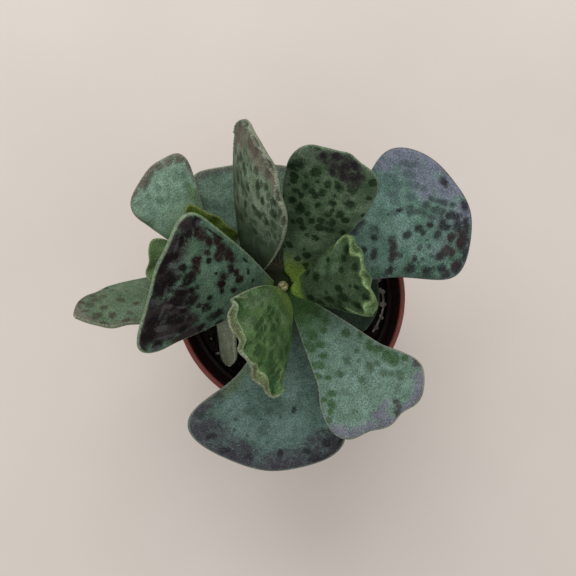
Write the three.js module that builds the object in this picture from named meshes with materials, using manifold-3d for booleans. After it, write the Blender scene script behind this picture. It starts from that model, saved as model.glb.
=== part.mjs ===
// A potted plover eggs plant: a small plastic nursery pot filled with soil, a main stem and a
// side stem standing in it, and thick wedge-shaped leaves with waved tips growing from both.
// Millimetres, +Z up, origin at the centre of the pot's underside. North is +Y and east is +X.

import * as THREE from 'three';
import { mergeVertices } from 'three/addons/utils/BufferGeometryUtils.js';
import Module from 'manifold-3d';

const wasm = await Module();
wasm.setup();

const { clamp, degToRad, lerp, smoothstep } = THREE.MathUtils;

// Air between two pieces that touch on the real plant
const GAP = 0.3;

// Pot
const POT_HEIGHT = 52;
const RIM_RADIUS = 30;
const BASE_RADIUS = 20;
const WALL = 1.2;
const COLLAR_HEIGHT = 8.5;
const COLLAR_STEP = 1.1;
const LIP_ROUND = 0.4;
const POT_SIDES = 56;
const DRAIN_COUNT = 5;
const DRAIN_RADIUS = 2.4;
const DRAIN_CIRCLE = 12;
const DRAIN_SIDES = 14;

// Soil
const SOIL_LEVEL = 43.8;
const SOIL_SECTORS = 36;
const SOIL_RINGS = 11;
const LUMP_COUNT = 30;
const LUMP_RADIUS = 2.6;
const LUMP_HEIGHT = 1.1;
const SWELL_HEIGHT = 0.25;
const SWELL_PERIOD = 13;
const GOLDEN_ANGLE = Math.PI * (3 - Math.sqrt(5));
const STEM_HOLE_DEPTH = 7;

// Stems: the points their centre lines pass through, from the soil to the growing tip, and the
// share of the radius that is left at the tip
const STEM_SIDES = 14;
const STEM_LEVELS = 11;
const STEM_BULGE = 0.05;
const TAPER_START = 0.6; // share of the stem's height where it begins to narrow
const DOME_START = 0.88; // share of the stem's height where its rounded top begins
const DOME_RISE = 0.1;
const MAIN_STEM = {
  radius: 3.8,
  taper: 0.5,
  line: [[-4, 5.5, SOIL_LEVEL - STEM_HOLE_DEPTH + GAP], [-3.6, 4.9, 55], [-1.7, 2.8, 71]],
};
const SIDE_STEM = {
  radius: 3.1,
  taper: 0.75,
  line: [[-18, 6.6, SOIL_LEVEL - STEM_HOLE_DEPTH + GAP], [-19.2, 7.6, 51], [-20.2, 8.3, 62]],
};
const BUD_COUNT = 3;
const BUD_SIZE = [0.75, 1.1, 1.9]; // outwards, around the stem and upwards
const BUD_SPREAD = 0.5;

// Leaves: every leaf is the same surface, and a leaf's entry changes what differs from these
const LEAF = {
  stem: MAIN_STEM,
  grid: 14,      // squares along each side of the leaf's grid
  neck: 4,       // width at the stem
  flare: 1.1,    // how late the leaf widens
  corner: 0,     // how much further it spreads at the corners of its waved end
  tip: 4,        // squareness of the waved end
  heel: 2.6,     // squareness of the stem end
  thick: 4.5,    // greatest thickness
  edge: 1.6,     // thickness near the margin
  slant: 0,      // how far the left side runs ahead of the right side
  sweep: 0.1,    // how far the tip's corners lie behind its middle, as a share of the length
  bend: 0,       // sideways curl towards the left, as a share of the length
  arch: 0.05,    // lengthwise curl, as a share of the length
  cup: 0,        // crosswise curl, as a share of the half width
  wave: 0.3,     // height of the margin's waves
  waves: 4,      // half waves across the tip
  phase: 0,      // where the waves start
  scallop: 0.15, // depth of the margin's scallops
  roll: 0,       // turn about the leaf's length, which lifts its left side
};

const LEAVES = {
  leaf_west: { base: [-3, 2.2, 65.8], azimuth: 179, elevation: 40, roll: -30,
    length: 35.2, width: 36, flare: 1, tip: 6, sweep: 0.04, arch: -0.03 },
  leaf_north_edgewise: { base: [-10, 6, 54.6], azimuth: 87.5, elevation: 54, roll: -60,
    length: 49, width: 25, neck: 8, flare: 0.8, tip: 2.2, heel: 2.2, slant: 0.3, sweep: 0,
    bend: -0.07, arch: -0.02, cup: -0.1, thick: 6, phase: 1 },
  leaf_north_east: { base: [0.3, 4, 63.5], azimuth: 68.3, elevation: 38,
    length: 39.8, width: 21.5, neck: 6, tip: 4.6, wave: 0.4, waves: 5 },
  leaf_east: { base: [-1.3, 2.7, 56.4], azimuth: 28.3, elevation: 11,
    length: 50, width: 35, flare: 1.2, corner: 0.15, tip: 9, sweep: 0.2, phase: 2, scallop: 0.25 },
  leaf_south_east: { base: [-0.6, 2.1, 61.2], azimuth: -51, elevation: 20,
    length: 42.5, width: 26.5, flare: 1.1, corner: 0.25, tip: 5.5, slant: 0.09, sweep: 0.12,
    wave: 0.5, waves: 6, phase: 1, scallop: 0.4 },
  leaf_south: { base: [-1.8, 2.2, 54.6], azimuth: -86, elevation: 8,
    length: 45, width: 38.5, neck: 8, flare: 2.1, corner: 0.4, slant: 0.18, sweep: 0.22, bend: -0.17,
    scallop: 0.3 },
  leaf_north_low: { base: [-3.5, 5.5, 52.5], azimuth: 108, elevation: 8,
    length: 30, width: 27, neck: 6, flare: 0.8, tip: 3.6, slant: 0.25, sweep: 0 },
  leaf_east_low: { base: [-1.4, 3.1, 49.5], azimuth: -13, elevation: 3, grid: 10,
    length: 25, width: 16, neck: 5, flare: 1, tip: 2.6, sweep: 0, wave: 0.1 },
  leaf_young_east: { base: [0.2, 1.7, 68.6], azimuth: 13, elevation: 38, grid: 18,
    length: 23.2, width: 19.2, flare: 1.2, tip: 4.6, slant: -0.1, sweep: 0, wave: 0.6, waves: 7 },
  leaf_young_south_west: { base: [-0.4, 0.2, 69], azimuth: 235, elevation: 48, roll: -38, grid: 18,
    length: 26, width: 26, neck: 9, flare: 0.9, sweep: 0.05, wave: 0.6, waves: 7, phase: 1 },
  side_leaf_north_west: { stem: SIDE_STEM, base: [-20.4, 9, 56.2], azimuth: 122, elevation: 21, grid: 12,
    length: 28.5, width: 18, tip: 5, slant: -0.25 },
  side_leaf_west: { stem: SIDE_STEM, base: [-21.5, 6, 53.5], azimuth: 207, elevation: 34, roll: 42, grid: 12,
    length: 36.5, width: 17, neck: 6, flare: 0.7, tip: 1.7, sweep: 0, bend: -0.1 },
  side_leaf_young_north: { stem: SIDE_STEM, base: [-20.4, 8, 60.3], azimuth: 82, elevation: 26, grid: 12,
    length: 14, width: 13.5, flare: 1.2, tip: 3.2, slant: 0.45, sweep: 0, thick: 3.6, wave: 0.6 },
  side_leaf_young_west: { stem: SIDE_STEM, base: [-22.2, 8.1, 60.4], azimuth: 174, elevation: 30, grid: 12,
    length: 14.5, width: 11, flare: 1.2, sweep: 0, thick: 3.6, wave: 0.6, waves: 3, phase: 2 },
  side_leaf_low: { stem: SIDE_STEM, base: [-18.4, 5, 53], azimuth: -81, elevation: -3, roll: 62, grid: 10,
    length: 23, width: 10, neck: 5, flare: 0.6, tip: 2.6, sweep: 0, thick: 3.6, wave: 0.1 },
};

// Share of the grid's spacing that is drawn in towards the margin, so that the edge is round
const MARGIN_CROWDING = 0.35;
// How a leaf's thickness is shared out above and below its middle surface
const TOP_SHARE = 0.4;
const BOTTOM_SHARE = 0.6;
// A finer wave that rides on the margin's main one
const FINE_WAVE_SHARE = 0.4;
const FINE_WAVE_RATIO = 1.7;

const COLOURS = {
  pot: { color: 0x8a4438, roughness: 0.5 },
  soil: { color: 0x1d1714, roughness: 0.95 },
  stem: { color: 0x8a7a52, roughness: 0.7 },
  leaf: { color: 0x647f70, roughness: 0.6 },
  young_leaf: { color: 0x6b8046, roughness: 0.55 },
};

// Closed triangle meshes and the solids that are cut and joined

function geometryOf(points, triangles) {
  const geometry = new THREE.BufferGeometry();
  geometry.setAttribute('position', new THREE.Float32BufferAttribute(points, 3));
  geometry.setIndex(triangles);
  return geometry;
}

function solidOf(geometry) {
  const bare = geometry.clone();
  bare.deleteAttribute('normal');
  bare.deleteAttribute('uv');
  const merged = mergeVertices(bare);
  const vertProperties = new Float32Array(merged.getAttribute('position').array);
  const triVerts = new Uint32Array(merged.getIndex().array);
  return new wasm.Manifold(new wasm.Mesh({ numProp: 3, vertProperties, triVerts }));
}

function geometryOfSolid(solid) {
  const mesh = solid.getMesh();
  return geometryOf(Array.from(mesh.vertProperties), Array.from(mesh.triVerts));
}

// A closed body from a stack of rings with equal numbers of points, each running anticlockwise
// seen from above, with a point closing each end.
function stackRings(first, rings, last) {
  const count = rings[0].length;
  const points = [first, ...rings.flat(), last];
  const end = points.length - 1;
  const triangles = [];
  const at = (ring, i) => 1 + ring * count + (i % count);
  for (let i = 0; i < count; i += 1) {
    triangles.push(0, at(0, i + 1), at(0, i));
    for (let ring = 0; ring < rings.length - 1; ring += 1) {
      triangles.push(at(ring, i), at(ring, i + 1), at(ring + 1, i + 1));
      triangles.push(at(ring, i), at(ring + 1, i + 1), at(ring + 1, i));
    }
    triangles.push(end, at(rings.length - 1, i), at(rings.length - 1, i + 1));
  }
  return geometryOf(points.flat(), triangles);
}

function circlePoint(centre, radius, index, count) {
  const angle = (2 * Math.PI * index) / count;
  return [centre[0] + radius * Math.cos(angle), centre[1] + radius * Math.sin(angle), centre[2]];
}

function circle(centre, radius, count) {
  return Array.from({ length: count }, (_, i) => circlePoint(centre, radius, i, count));
}

// Pot: a tapered wall with a wider collar at the top and drain holes around a solid middle

function bodyRadiusAt(z) {
  const top = RIM_RADIUS - COLLAR_STEP;
  return lerp(BASE_RADIUS, top, z / POT_HEIGHT);
}

function innerRadiusAt(z) {
  return bodyRadiusAt(z) - WALL;
}

function potProfile() {
  const collar = POT_HEIGHT - COLLAR_HEIGHT;
  const outer = bodyRadiusAt(collar) + COLLAR_STEP;
  const outline = [
    [0, 0],
    [BASE_RADIUS, 0],
    [bodyRadiusAt(collar), collar],
    [outer, collar + LIP_ROUND],
    [RIM_RADIUS, POT_HEIGHT - LIP_ROUND],
    [RIM_RADIUS - LIP_ROUND, POT_HEIGHT],
    [RIM_RADIUS - WALL, POT_HEIGHT],
    [outer - WALL, collar + LIP_ROUND],
    [innerRadiusAt(collar), collar],
    [innerRadiusAt(WALL), WALL],
    [0, WALL],
  ];
  return outline.map(([r, z]) => new THREE.Vector2(r, z));
}

function potGeometry() {
  const upright = new THREE.LatheGeometry(potProfile(), POT_SIDES).rotateX(Math.PI / 2);
  let pot = solidOf(upright);
  for (let i = 0; i < DRAIN_COUNT; i += 1) {
    const [x, y] = circlePoint([0, 0, 0], DRAIN_CIRCLE, i, DRAIN_COUNT);
    const drill = new THREE.CylinderGeometry(DRAIN_RADIUS, DRAIN_RADIUS, 4 * WALL, DRAIN_SIDES);
    drill.rotateX(Math.PI / 2).translate(x, y, 0);
    pot = pot.subtract(solidOf(drill));
  }
  return geometryOfSolid(pot);
}

// Stems: round, slightly knobbly, with a domed top that carries the growing tip's buds

function stemLine(stem) {
  return new THREE.CatmullRomCurve3(stem.line.map((point) => new THREE.Vector3(...point)));
}

function stemRadius(stem, level, grow) {
  const share = level / STEM_LEVELS;
  const slim = lerp(1, stem.taper, smoothstep(share, TAPER_START, 1));
  const dome = Math.sqrt(1 - clamp((share - DOME_START) / (1.02 - DOME_START), 0, 1) ** 2);
  const bulge = 1 + STEM_BULGE * Math.sin(3 * level);
  return (stem.radius * slim * bulge + grow) * dome;
}

function stemBody(stem, grow) {
  const line = stemLine(stem);
  const rings = [];
  for (let level = 0; level <= STEM_LEVELS; level += 1) {
    const centre = line.getPoint(level / STEM_LEVELS);
    rings.push(circle(centre.toArray(), stemRadius(stem, level, grow), STEM_SIDES));
  }
  const foot = line.getPoint(0);
  const top = line.getPoint(1);
  return solidOf(stackRings(foot.toArray(), rings, [top.x, top.y, top.z + grow + DOME_RISE]));
}

function budBody(stem, index, grow) {
  const top = stemLine(stem).getPoint(1);
  const turn = index + 0.4;
  const bud = new THREE.SphereGeometry(1, 8, 6).rotateX(Math.PI / 2);
  const [x, y, z] = circlePoint([top.x, top.y, top.z], BUD_SPREAD, turn, BUD_COUNT);
  bud.scale(...BUD_SIZE.map((size) => size + grow)).rotateZ((2 * Math.PI * turn) / BUD_COUNT);
  bud.translate(x, y, z);
  return solidOf(bud);
}

// The whole stem, or with grow above zero the room that its neighbours leave for it
function stemSolid(stem, grow) {
  let solid = stemBody(stem, grow);
  for (let i = 0; i < BUD_COUNT; i += 1) {
    solid = solid.add(budBody(stem, i, grow));
  }
  return solid;
}

// Soil: fills the pot, with a lumpy top and a plain hole for each stem

function soilHeight(x, y) {
  const swell = (2 * Math.PI) / SWELL_PERIOD;
  let height = SWELL_HEIGHT * Math.sin(swell * x + 1) * Math.cos(swell * y);
  for (let i = 0; i < LUMP_COUNT; i += 1) {
    const reach = innerRadiusAt(SOIL_LEVEL) * Math.sqrt((i + 0.5) / LUMP_COUNT);
    const distance = Math.hypot(x - reach * Math.cos(i * GOLDEN_ANGLE), y - reach * Math.sin(i * GOLDEN_ANGLE));
    const size = 0.6 + 0.4 * Math.sin(5 * i);
    height += LUMP_HEIGHT * size * Math.exp(-((distance / LUMP_RADIUS) ** 2));
  }
  return SOIL_LEVEL - LUMP_HEIGHT / 3 + height;
}

function stemHole(stem) {
  const [[x, y]] = stem.line;
  const radius = stem.radius * (1 + STEM_BULGE) + 2 * GAP;
  const drill = new THREE.CylinderGeometry(radius, radius, 2 * STEM_HOLE_DEPTH, 2 * STEM_SIDES);
  drill.rotateX(Math.PI / 2).translate(x, y, SOIL_LEVEL);
  return solidOf(drill);
}

function soilGeometry() {
  const foot = WALL + GAP;
  const wallAt = (z) => innerRadiusAt(z) - GAP;
  const rings = [circle([0, 0, foot], wallAt(foot), SOIL_SECTORS)];
  for (let ring = SOIL_RINGS; ring > 0; ring -= 1) {
    const flat = circle([0, 0, 0], (wallAt(SOIL_LEVEL - 1) * ring) / SOIL_RINGS, SOIL_SECTORS);
    rings.push(flat.map(([x, y]) => [x, y, soilHeight(x, y)]));
  }
  let soil = solidOf(stackRings([0, 0, foot], rings, [0, 0, soilHeight(0, 0)]));
  for (const stem of [MAIN_STEM, SIDE_STEM]) {
    soil = soil.subtract(stemHole(stem));
  }
  return geometryOfSolid(soil);
}

// Leaves: a square grid is drawn out to a wedge with a waved end and rounded margins

// Grid lines from -1 to 1, closer together near both ends
function gridLine(index, grid) {
  const even = (2 * index) / grid - 1;
  return (1 - MARGIN_CROWDING) * even + MARGIN_CROWDING * Math.sin((even * Math.PI) / 2);
}

function spreadAt(u, leaf) {
  const neck = leaf.neck / leaf.width;
  const wedge = neck + (1 - neck) * u ** leaf.flare;
  return wedge * (1 + leaf.corner * smoothstep(u, 0.6, 1));
}

// The widest that the wedge gets before it is scaled to the leaf's width
function widestSpread(leaf) {
  let widest = 0;
  for (let step = 0; step <= 200; step += 1) {
    const u = step / 200;
    const end = Math.max(2 * u - 1, 0) ** leaf.tip;
    widest = Math.max(widest, spreadAt(u, leaf) * (1 - end) ** (1 / leaf.tip));
  }
  return widest;
}

function thicknessAt(u, a, inward, leaf) {
  const along = Math.max(Math.sin(Math.PI * Math.min(0.9 * u + 0.12, 1)), 0) ** 0.8;
  const across = (1 - 0.6 * a * a) * smoothstep(inward, 0, 0.6);
  return leaf.edge + (leaf.thick - leaf.edge) * along * across;
}

// One grid point, as its place along, across and above the leaf and its thickness there
function leafPoint(s, t, leaf) {
  const out = Math.max(Math.abs(s), Math.abs(t));
  const power = t > 0 ? leaf.tip : leaf.heel;
  const round = (Math.abs(s) ** power + Math.abs(t) ** power) ** (1 / power);
  const pull = round > 0 ? out / round : 1;
  const a = s * pull;
  const b = t * pull;
  const u = (b + 1) / 2;
  const half = (leaf.width / 2) * (spreadAt(u, leaf) / leaf.widest);
  const bearing = Math.atan2(a, b);
  const rim = smoothstep(out, 0.55, 1) * smoothstep(Math.cos(bearing), 0.15, 0.6);
  const swing = 2 * leaf.waves * bearing + leaf.phase;
  const fineSwing = FINE_WAVE_RATIO * swing + leaf.phase + 1;
  const wave = Math.sin(swing) + FINE_WAVE_SHARE * Math.sin(fineSwing);
  const scallop = leaf.scallop * Math.cos(swing) * rim;
  const flat = a * half + scallop * a;
  const sideways = s ** 4 / Math.max(s ** 4 + t ** 4, 1e-9);
  const toMargin = (1 - out) * (sideways * half + ((1 - sideways) * leaf.length) / 2);
  const fullness = Math.sqrt(1 - (1 - clamp(toMargin / (0.8 * leaf.edge), 0, 1)) ** 2);
  const curl = leaf.cup * a * a * smoothstep(u, 0.1, 0.8) * (leaf.width / 2);
  return {
    along: leaf.length * u * (1 - leaf.sweep * a * a) + scallop * b + leaf.slant * flat * u,
    across: flat + leaf.bend * leaf.length * u * u,
    above: leaf.arch * leaf.length * u * u + curl + leaf.wave * wave * rim,
    depth: thicknessAt(u, a, 1 - out, leaf) * fullness,
  };
}

// Directions along, across and out of the leaf's upper face
function leafDirections(leaf) {
  const azimuth = degToRad(leaf.azimuth);
  const elevation = degToRad(leaf.elevation);
  const along = new THREE.Vector3(
    Math.cos(azimuth) * Math.cos(elevation),
    Math.sin(azimuth) * Math.cos(elevation),
    Math.sin(elevation),
  );
  const across = new THREE.Vector3(-Math.sin(azimuth), Math.cos(azimuth), 0);
  across.applyAxisAngle(along, degToRad(leaf.roll));
  const above = new THREE.Vector3().crossVectors(along, across);
  return { along, across, above };
}

function leafVertices(leaf, directions, face) {
  const base = new THREE.Vector3(...leaf.base);
  const vertices = [];
  for (let i = 0; i <= leaf.grid; i += 1) {
    for (let j = 0; j <= leaf.grid; j += 1) {
      const point = leafPoint(gridLine(i, leaf.grid), gridLine(j, leaf.grid), leaf);
      const place = base.clone()
        .addScaledVector(directions.along, point.along)
        .addScaledVector(directions.across, point.across)
        .addScaledVector(directions.above, point.above + face * point.depth);
      vertices.push(...place.toArray());
    }
  }
  return vertices;
}

// The two faces are split into triangles alike and share the vertices along the margin
function leafTriangles(grid) {
  const row = grid + 1;
  const total = row * row;
  const onMargin = (i, j) => i === 0 || j === 0 || i === grid || j === grid;
  const top = (i, j) => i * row + j;
  const bottom = (i, j) => (onMargin(i, j) ? top(i, j) : total + top(i, j));
  const triangles = [];
  for (let i = 0; i < grid; i += 1) {
    for (let j = 0; j < grid; j += 1) {
      triangles.push(top(i, j), top(i + 1, j + 1), top(i + 1, j));
      triangles.push(top(i, j), top(i, j + 1), top(i + 1, j + 1));
      triangles.push(bottom(i, j), bottom(i + 1, j), bottom(i + 1, j + 1));
      triangles.push(bottom(i, j), bottom(i + 1, j + 1), bottom(i, j + 1));
    }
  }
  return triangles;
}

function leafGeometry(entry) {
  const leaf = { ...LEAF, ...entry };
  leaf.widest = widestSpread(leaf);
  const directions = leafDirections(leaf);
  const top = leafVertices(leaf, directions, TOP_SHARE);
  const bottom = leafVertices(leaf, directions, -BOTTOM_SHARE);
  const solid = solidOf(geometryOf([...top, ...bottom], leafTriangles(leaf.grid)));
  return geometryOfSolid(solid.subtract(stemSolid(leaf.stem, GAP)));
}

// The plant

function mesh(name, geometry, look) {
  geometry.computeVertexNormals();
  const piece = new THREE.Mesh(geometry, new THREE.MeshStandardMaterial(look));
  piece.name = name;
  return piece;
}

const plant = new THREE.Group();
plant.add(mesh('pot', potGeometry(), COLOURS.pot));
plant.add(mesh('soil', soilGeometry(), COLOURS.soil));
plant.add(mesh('main_stem', geometryOfSolid(stemSolid(MAIN_STEM, 0)), COLOURS.stem));
plant.add(mesh('side_stem', geometryOfSolid(stemSolid(SIDE_STEM, 0)), COLOURS.stem));
for (const [name, entry] of Object.entries(LEAVES)) {
  const look = name.includes('young') ? COLOURS.young_leaf : COLOURS.leaf;
  plant.add(mesh(name, leafGeometry(entry), look));
}

export default plant;
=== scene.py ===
"""A potted plover eggs plant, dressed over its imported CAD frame.

Sizes here are millimetres in the frame's own axes, and MM turns them into metres for Blender.
"""
import math

import bpy
import bmesh
import numpy as np
from mathutils import Matrix, Vector, noise


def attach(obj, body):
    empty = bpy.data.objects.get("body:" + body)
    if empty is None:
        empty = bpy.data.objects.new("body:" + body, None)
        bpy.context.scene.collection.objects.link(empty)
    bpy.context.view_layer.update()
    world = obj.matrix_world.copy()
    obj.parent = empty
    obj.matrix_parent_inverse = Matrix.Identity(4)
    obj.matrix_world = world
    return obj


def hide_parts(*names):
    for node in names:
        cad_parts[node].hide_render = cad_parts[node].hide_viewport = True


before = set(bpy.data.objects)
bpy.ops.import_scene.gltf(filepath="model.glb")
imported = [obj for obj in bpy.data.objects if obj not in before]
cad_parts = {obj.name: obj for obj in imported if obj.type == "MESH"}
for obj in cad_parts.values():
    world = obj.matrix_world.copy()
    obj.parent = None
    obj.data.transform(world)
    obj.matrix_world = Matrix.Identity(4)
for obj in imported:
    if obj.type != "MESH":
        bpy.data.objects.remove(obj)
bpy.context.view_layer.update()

MM = 0.001
GOLDEN_ANGLE = math.pi * (3 - math.sqrt(5))

# Camera: it looks straight down, from above the middle of the leaves
CAMERA_PLACE = (-0.5, 2.4, 282)
CAMERA_LENS = 55.3
CAMERA_SENSOR = 36
CAMERA_NEAREST = 0.01

# Setting, in metres
FLOOR_SIZE = 3
LIGHT_PLACE = (-0.08, 0.42, 0.45)
LIGHT_AIM = (0, 0, 0.05)
LIGHT_SIZE = 0.5
LIGHT_WATTS = 1.9
SKY_STRENGTH = 0.75

# Pot
POT_HEIGHT = 52
RIM_RADIUS = 30
BASE_RADIUS = 20
WALL = 1.2
INSIDE_SKIN = 0.05
INSIDE_FADE = (0.3, 1.1)
COLLAR_HEIGHT = 8.5
COLLAR_STEP = 1.1
COLLAR_SLOPE = 0.4
LIP_BEVEL = 0.3
LIP_DROP = 0.2
LIP_WEAR = 0.9
CORNER_RADIUS = 0.35
POT_SIDES = 144
DRAIN_COUNT = 5
DRAIN_RADIUS = 2.4
DRAIN_CIRCLE = 12
DRAIN_SIDES = 40

# Soil
SOIL_LEVEL = 43.8
LUMP_COUNT = 30
LUMP_RADIUS = 2.6
LUMP_HEIGHT = 1.1
SWELL_HEIGHT = 0.25
SWELL_PERIOD = 13
CRUMBLE_HEIGHT = 0.35
CRUMBLE_PACE = 0.9
CRUMB_COUNT = 520
CRUMB_SIZES = (0.35, 1.1)
CRUMB_START = 0.5
SPECK_COUNT = 60
SPECK_SIZES = (0.2, 0.5)
SPECK_START = 2.1
SCATTER_SHIFT = 0.6
WALL_CLEARANCE = 0.6
CRUMB_RISE = 0.25
STONE_RISE = 0.35
STEM_HOLE_DEPTH = 7
GAP = 0.3

# Larger pale stones on the soil: place across, place along and radius
GRIT = ((24.9, 1.4, 0.95), (25, -2, 1.05), (24.6, -5.4, 0.8), (23.2, -8.2, 0.7), (22.3, 2.8, 0.6),
        (24, 4.6, 0.7), (-19.5, -15.2, 0.7), (-22.8, -8.5, 0.6), (-17.2, -18.1, 0.5), (8.2, 21.4, 0.9),
        (17.5, 17.2, 0.8), (4.1, -22.6, 0.7), (13.6, -19.2, 0.9))

# The loose root on the soil
ROOTLET_LINE = ((24.2, 2.4), (25.1, 0.2), (25.2, -2.4), (24.6, -5), (23.5, -7.4), (22.2, -9.4))
ROOTLET_RADIUS = 0.3
ROOTLET_RISE = 0.7

# Stems
STEM_BULGE = 0.05
STEM_BULGE_PACE = 33
TAPER_START = 0.6
DOME_START = 0.88
DOME_END = 1.02
KNOB_HEIGHT = 0.07
KNOB_PACE = 0.45
BUD_COUNT = 3
BUD_SIZE = (0.75, 1.1, 1.9)
BUD_SPREAD = 0.5
BUD_CRINKLE = 0.12
ROOT_LENGTHS = (2.2, 4.6)
ROOT_RADIUS = 0.16
ROOT_THINNING = 0.018
ROOT_STEPS = 6
ROOT_DROOP = 0.35
ROOT_SWAY = 0.2
ROOT_BEDDING = 0.3
STEM_FOOT = SOIL_LEVEL - STEM_HOLE_DEPTH + GAP
STEMS = {
    "main_stem": dict(
        radius=3.8, taper=0.5, root_count=40, root_zone=(0.28, 0.58),
        line=[(-4, 5.5, STEM_FOOT), (-3.6, 4.9, 55), (-1.7, 2.8, 71)]),
    "side_stem": dict(
        radius=3.1, taper=0.75, root_count=24, root_zone=(0.32, 0.6),
        line=[(-18, 6.6, STEM_FOOT), (-19.2, 7.6, 51), (-20.2, 8.3, 62)]),
}

# Leaves: the same surface as the frame's leaves, on a finer grid. Azimuth, elevation and roll are
# degrees. Length, width, neck, thick, edge, wave and scallop are millimetres, and the other values
# are shares and powers that shape the outline and the bend.
LEAF = dict(
    grid=88, neck=4, flare=1.1, corner=0, tip=4, heel=2.6, thick=4.5, edge=1.6, slant=0, sweep=0.1, bend=0,
    arch=0.05, cup=0, wave=0.3, waves=4, phase=0, scallop=0.15, roll=0)
LEAVES = {
    "leaf_west": dict(
        base=(-3, 2.2, 65.8), azimuth=179, elevation=40, roll=-30, length=35.2, width=36, flare=1, tip=6,
        sweep=0.04, arch=-0.03),
    "leaf_north_edgewise": dict(
        base=(-10, 6, 54.6), azimuth=87.5, elevation=54, roll=-60, length=49, width=25, neck=8, flare=0.8,
        tip=2.2, heel=2.2, slant=0.3, sweep=0, bend=-0.07, arch=-0.02, cup=-0.1, thick=6, phase=1),
    "leaf_north_east": dict(
        base=(0.3, 4, 63.5), azimuth=68.3, elevation=38, length=39.8, width=21.5, neck=6, tip=4.6,
        wave=0.4, waves=5),
    "leaf_east": dict(
        base=(-1.3, 2.7, 56.4), azimuth=28.3, elevation=11, length=50, width=35, flare=1.2, corner=0.15,
        tip=9, sweep=0.2, phase=2, scallop=0.25),
    "leaf_south_east": dict(
        base=(-0.6, 2.1, 61.2), azimuth=-51, elevation=20, length=42.5, width=26.5, corner=0.25, tip=5.5,
        slant=0.09, sweep=0.12, wave=0.5, waves=6, phase=1, scallop=0.4),
    "leaf_south": dict(
        base=(-1.8, 2.2, 54.6), azimuth=-86, elevation=8, length=45, width=38.5, neck=8, flare=2.1,
        corner=0.4, slant=0.18, sweep=0.22, bend=-0.17, scallop=0.3),
    "leaf_north_low": dict(
        base=(-3.5, 5.5, 52.5), azimuth=108, elevation=8, length=30, width=27, neck=6, flare=0.8, tip=3.6,
        slant=0.25, sweep=0),
    "leaf_east_low": dict(
        base=(-1.4, 3.1, 49.5), azimuth=-13, elevation=3, length=25, width=16, neck=5, flare=1, tip=2.6,
        sweep=0, wave=0.1),
    "leaf_young_east": dict(
        base=(0.2, 1.7, 68.6), azimuth=13, elevation=38, length=23.2, width=19.2, flare=1.2, tip=4.6,
        slant=-0.1, sweep=0, wave=0.6, waves=7),
    "leaf_young_south_west": dict(
        base=(-0.4, 0.2, 69), azimuth=235, elevation=48, roll=-38, length=26, width=26, neck=9, flare=0.9,
        sweep=0.05, wave=0.6, waves=7, phase=1),
    "side_leaf_north_west": dict(
        base=(-20.4, 9, 56.2), azimuth=122, elevation=21, length=28.5, width=18, tip=5, slant=-0.25),
    "side_leaf_west": dict(
        base=(-21.5, 6, 53.5), azimuth=207, elevation=34, roll=42, length=36.5, width=17, neck=6,
        flare=0.7, tip=1.7, sweep=0, bend=-0.1),
    "side_leaf_young_north": dict(
        base=(-20.4, 8, 60.3), azimuth=82, elevation=26, length=14, width=13.5, flare=1.2, tip=3.2,
        slant=0.45, sweep=0, thick=3.6, wave=0.6),
    "side_leaf_young_west": dict(
        base=(-22.2, 8.1, 60.4), azimuth=174, elevation=30, length=14.5, width=11, flare=1.2, sweep=0,
        thick=3.6, wave=0.6, waves=3, phase=2),
    "side_leaf_low": dict(
        base=(-18.4, 5, 53), azimuth=-81, elevation=-3, roll=62, length=23, width=10, neck=5, flare=0.6,
        tip=2.6, sweep=0, thick=3.6, wave=0.1),
}
MARGIN_CROWDING = 0.35
TOP_SHARE = 0.4
BOTTOM_SHARE = 0.6
FINE_WAVE_SHARE = 0.4
FINE_WAVE_RATIO = 1.7
LEAF_SWELL = 0.35
SWELL_WAVES = 5
SWELL_SHORTEST = 6
CREST_RISE = 0.35
POCKET_DROP = 0.4
UNDERSIDE_FADE = 0.6
UNDERSIDE_SWELL = 0.5
NOISE_STEP = (17.3, 9.1, 0)
UNDERSIDE_STEP = (0, 0, 5)

# How each leaf is coloured. Colours are red, green and blue as they look on a screen, 0 to 255, and
# lengths are millimetres. Ground and second are the two clouded colours of the skin, base is the
# colour near the stem, which is painted shade where it is a dark grey-green, and margin that towards
# the tip's edge. Rim is a thin line along the edge.
# Cover is how much of the skin small round spots take: all over, and more towards the tip, the left
# edge and the right edge. Spot depth is how strong they are, and spot stretch draws them out along
# the leaf. Marbling lets pale veins through the dabs, and streaks are furrows along the leaf. Where
# crest depth isn't 0, a crest waves along the tip, with pockets of margin outside it.
# Where a leaf's rim is paler than its skin, the rim is partly painted highlight on the rounded edge.
LOOK = dict(
    ground=(98, 124, 110), second=(80, 106, 90), base=(92, 116, 48), base_reach=0.2, margin=(96, 90, 98),
    margin_amount=0.35, margin_reach=2.5, spot=(42, 56, 44), spot_depth=0.7, spot_size=2.4, spot_stretch=1,
    cover=0.1, cover_tip=0, cover_left=0, cover_right=0, marbling=0.2, rim=(132, 138, 116), rim_width=0.35,
    streaks=0, crest=(128, 146, 100), crest_width=0.3, crest_depth=0, crest_lobes=14, crest_phase=0,
    pocket=(62, 74, 42))
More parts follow.
